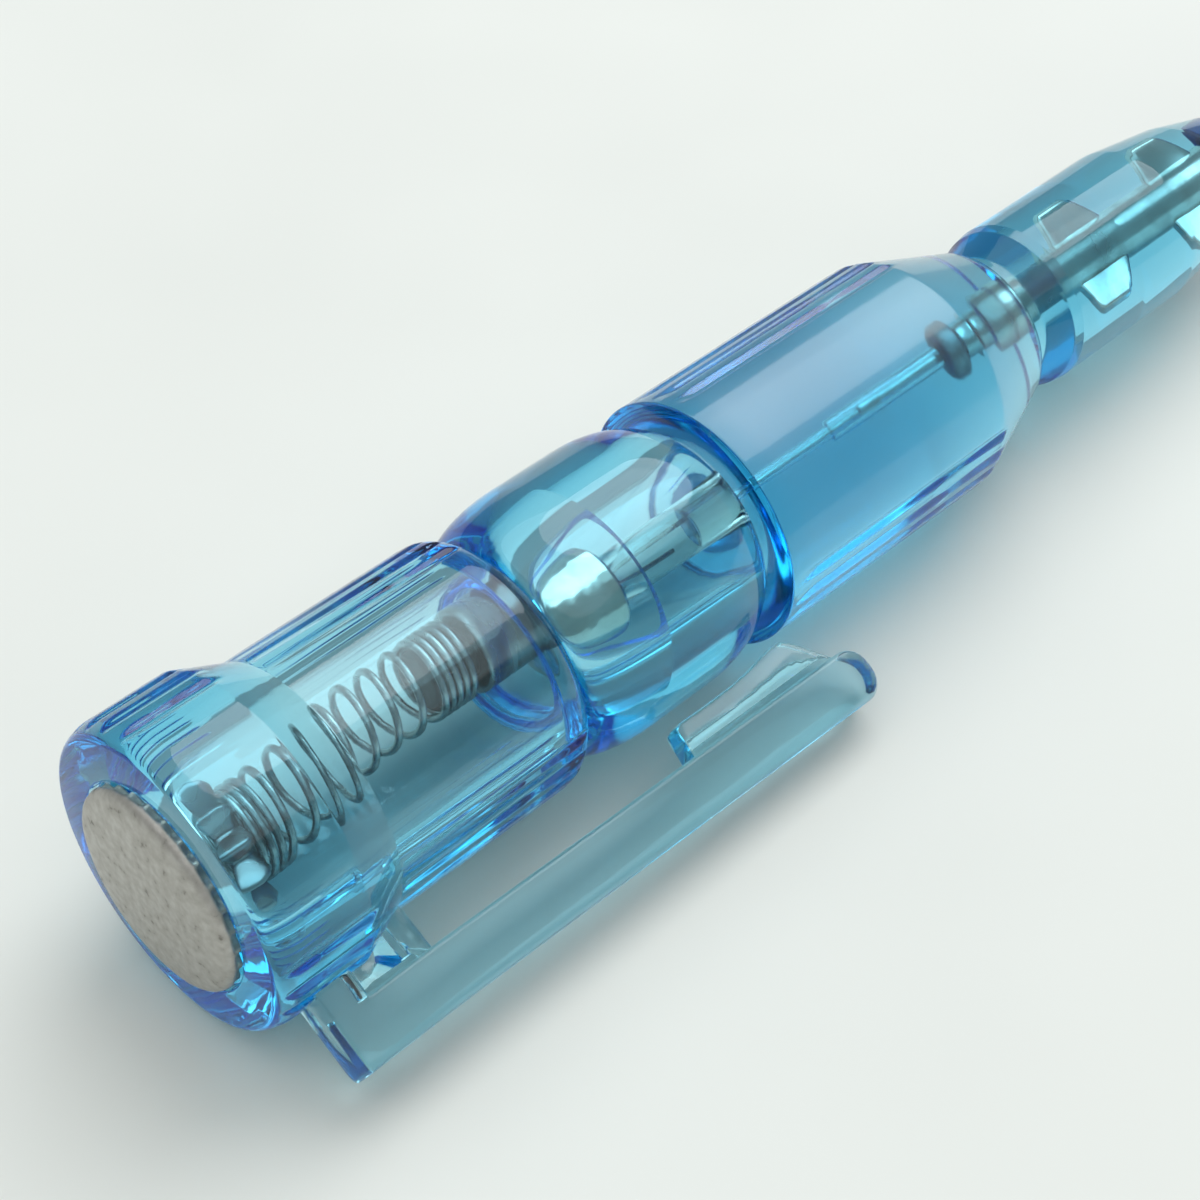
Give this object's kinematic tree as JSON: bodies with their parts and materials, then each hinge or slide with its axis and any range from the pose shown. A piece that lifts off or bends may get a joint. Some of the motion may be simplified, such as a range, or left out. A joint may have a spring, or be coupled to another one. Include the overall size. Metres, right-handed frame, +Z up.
{
  "type": "voltage tester screwdriver",
  "caption": "Clear blue pocket voltage tester: fluted moulded handle with clip, metal touch cap, sprung neon lamp and resistor in the bore, and a sleeved flat screwdriver blade.",
  "frame": {"origin": "bottom centre of the whole object's box, on the table it lies on", "axes": "+X along the tool from the touch cap to the blade tip, +Z up, the clip on the -Y side"},
  "size_m": [0.14, 0.02, 0.0163],
  "materials": {
    "handle_body": "clear, polished mould",
    "clip_root": "clear, polished mould",
    "clip_arm": "clear, polished mould",
    "touch_cap": "satin, worn by the thumb",
    "contact_spring": "drawn steel",
    "blade": "drawn steel",
    "blade_sleeve": "extruded insulation",
    "resistor_rod": "carbon film, lacquered",
    "resistor_rear_cap": "nickel plated, bright",
    "resistor_front_cap": "nickel plated, bright",
    "lamp_rear_cap": "nickel plated, bright",
    "lamp_front_lead": "nickel plated, bright",
    "lamp_glass": "clear glass tube",
    "lamp_rear_seal": "fused glass",
    "lamp_front_seal": "fused glass",
    "lamp_rear_electrode": "nickel plated, bright",
    "lamp_front_electrode": "nickel plated, bright"
  },
  "bodies": {
    "handle": {"handle_body": "handle_body", "clip_root": "clip_root", "touch_cap": "touch_cap", "contact_spring": "contact_spring", "blade": "blade", "blade_sleeve": "blade_sleeve"},
    "clip": {"clip_arm": "clip_arm"},
    "lamp_stack": {"resistor_rear_cap": "resistor_rear_cap", "resistor_rod": "resistor_rod", "resistor_front_cap": "resistor_front_cap", "lamp_rear_cap": "lamp_rear_cap", "lamp_glass": "lamp_glass", "lamp_rear_seal": "lamp_rear_seal", "lamp_front_seal": "lamp_front_seal", "lamp_rear_electrode": "lamp_rear_electrode", "lamp_front_electrode": "lamp_front_electrode", "lamp_front_lead": "lamp_front_lead"}
  },
  "joints": [
    {"name": "clip_flex", "type": "hinge", "parent": "handle", "child": "clip", "pos_m": [-0.06101, -0.0063, 0.00358], "axis": [-0.0208, 0.4814, -0.8763], "range_deg": [0, 5], "stiffness_Nm_per_rad": 0.03, "springref_deg": -1.15},
    {"name": "lamp_travel", "type": "slide", "parent": "handle", "child": "lamp_stack", "axis": [-0.9997, 0, 0.0237], "range_m": [0, 0.002], "stiffness_N_per_m": 200, "springref_m": -0.004, "deforming": ["contact_spring"]}
  ]
}
